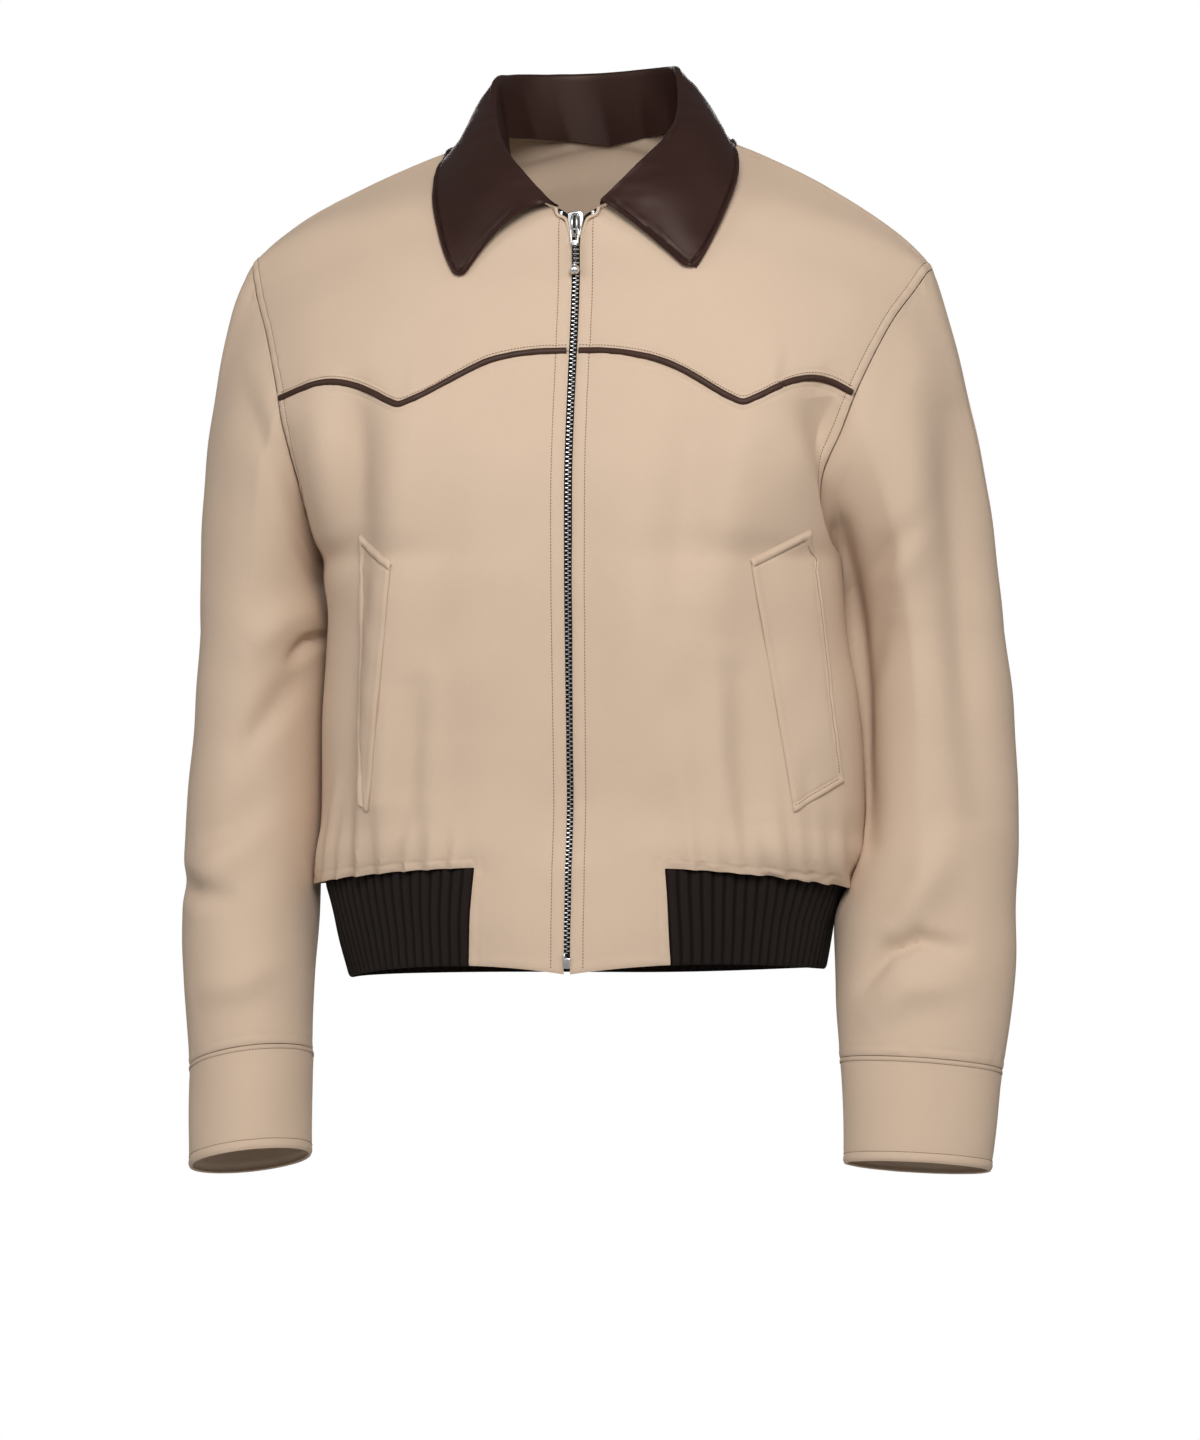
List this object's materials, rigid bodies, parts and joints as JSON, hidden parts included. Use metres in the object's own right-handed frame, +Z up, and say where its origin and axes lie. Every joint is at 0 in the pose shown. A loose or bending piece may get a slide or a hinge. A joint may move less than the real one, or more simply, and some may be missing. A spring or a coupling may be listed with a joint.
{
  "type": "jacket",
  "caption": "Cropped zip-front harrington jacket with pointed leather collar, piped western yoke, slanted welt pockets and ribbed hem, in its worn form.",
  "frame": {"origin": "on the midline between the shoulder seams' neck ends, where the jacket hangs on its wearer; no solid is there", "axes": "+Z up, -Y the front, +X the wearer's left"},
  "size_m": [0.6191, 0.2763, 0.8237],
  "materials": {
    "tan_twill": "matte brushed cotton twill",
    "brown_leather": "smooth satin leather",
    "brown_rib": "ribbed knit",
    "black_tape": "woven tape",
    "silver_metal": "polished silver metal"
  },
  "bodies": {
    "jacket": {"front_right": "tan_twill", "front_left": "tan_twill", "yoke_right": "tan_twill", "yoke_left": "tan_twill", "back": "tan_twill", "sleeve_right": "tan_twill", "sleeve_left": "tan_twill", "cuff_right": "tan_twill", "cuff_left": "tan_twill", "welt_right": "tan_twill", "welt_left": "tan_twill", "collar": "brown_leather", "piping_right": "brown_leather", "piping_left": "brown_leather", "hem_rib": "brown_rib", "zip_tape_right": "black_tape", "zip_tape_left": "black_tape", "zip_chain": "silver_metal", "zip_stop_right": "silver_metal", "zip_stop_left": "silver_metal", "zip_stop_bottom": "silver_metal", "zip_slider": "silver_metal"},
    "zip_pull": {"zip_pull": "silver_metal"}
  },
  "joints": [
    {"name": "zip_pull_swing", "type": "hinge", "parent": "jacket", "child": "zip_pull", "pos_m": [0, -0.1021, -0.0582], "axis": [-1, 0, 0], "range_deg": [0, 140]}
  ]
}
